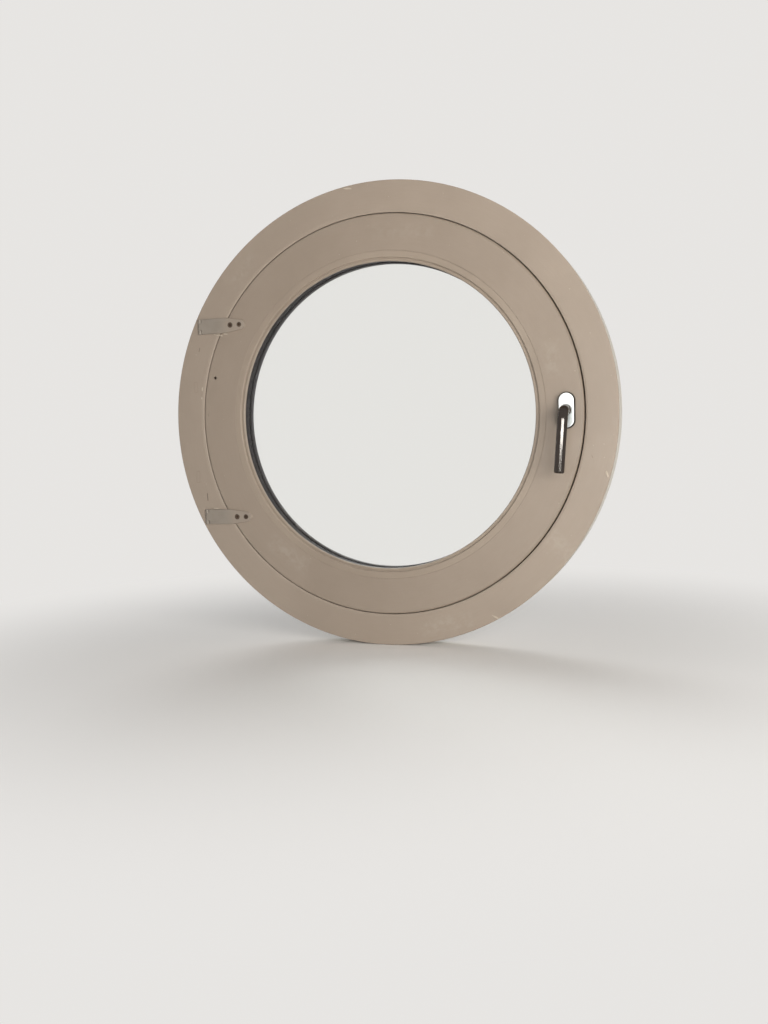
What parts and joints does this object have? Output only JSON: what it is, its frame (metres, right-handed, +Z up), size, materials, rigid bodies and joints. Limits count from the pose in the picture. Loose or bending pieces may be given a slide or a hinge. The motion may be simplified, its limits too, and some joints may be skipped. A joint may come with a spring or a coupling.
{
  "type": "porthole window",
  "caption": "Round inward opening timber window with its frame: a double glazed sash on two strap hinges, closed by a lever handle and a mortise bolt.",
  "frame": {"origin": "on the window's axis, halfway through the depth of the frame", "axes": "+Y towards the weather side, +X to the right as seen from the room, +Z up"},
  "size_m": [0.9, 0.1154, 0.9],
  "materials": {
    "painted_timber": "smooth satin cream paint on timber",
    "painted_bead": "smooth satin cream paint on timber moulding",
    "painted_strap": "brush painted steel, slightly greyer than the timber",
    "dark_screw": "dark oxidised steel",
    "zinc_steel": "zinc plated",
    "lock_steel": "pressed and machined steel",
    "stainless_handle": "polished stainless",
    "stainless_rosette": "satin stainless",
    "nylon": "moulded nylon",
    "black_rubber": "matte EPDM",
    "black_spacer": "matte black warm edge",
    "packer": "moulded plastic",
    "clear_glass": "clear float glass"
  },
  "bodies": {
    "frame": {"outer_frame": "painted_timber", "frame_seal": "black_rubber", "upper_hinge_leaf": "painted_strap", "lower_hinge_leaf": "painted_strap", "upper_hinge_pin": "painted_strap", "lower_hinge_pin": "painted_strap", "hinge_leaf_screws": "dark_screw", "strike_plate": "zinc_steel", "strike_screws": "zinc_steel"},
    "sash": {"sash": "painted_timber", "glazing_bead": "painted_bead", "bead_pins": "dark_screw", "inner_glazing_seal": "black_rubber", "inner_pane": "clear_glass", "spacer_bar": "black_spacer", "edge_sealant": "black_rubber", "outer_pane": "clear_glass", "outer_glazing_tape": "black_rubber", "setting_blocks": "packer", "upper_hinge_strap": "painted_strap", "lower_hinge_strap": "painted_strap", "hinge_strap_screws": "dark_screw", "rosette_base": "nylon", "rosette_cover": "stainless_rosette", "rosette_screws": "zinc_steel", "lock_case": "lock_steel", "lock_cover": "lock_steel", "lock_rivets": "lock_steel", "lock_faceplate": "zinc_steel", "faceplate_screws": "zinc_steel"},
    "handle": {"handle_lever": "stainless_handle", "handle_circlip": "lock_steel", "handle_spindle": "lock_steel", "handle_grub_screw": "dark_screw", "lock_pinion": "lock_steel"},
    "bolt": {"lock_bolt": "lock_steel"}
  },
  "joints": [
    {"name": "sash_swing", "type": "hinge", "parent": "frame", "child": "sash", "pos_m": [-0.39, -0.0283, 0], "axis": [0, 0, -1], "range_deg": [0, 110]},
    {"name": "handle_turn", "type": "hinge", "parent": "sash", "child": "handle", "pos_m": [0.356, 0, 0], "axis": [0, 1, 0], "range_deg": [-4.6, 85.4]},
    {"name": "bolt_slide", "type": "slide", "parent": "sash", "child": "bolt", "axis": [-1, 0, 0], "range_m": [-0.00073, 0.01342]}
  ],
  "couplings": [
    {"joint": "bolt_slide", "follows": "handle_turn", "m_per_rad": 0.009}
  ]
}
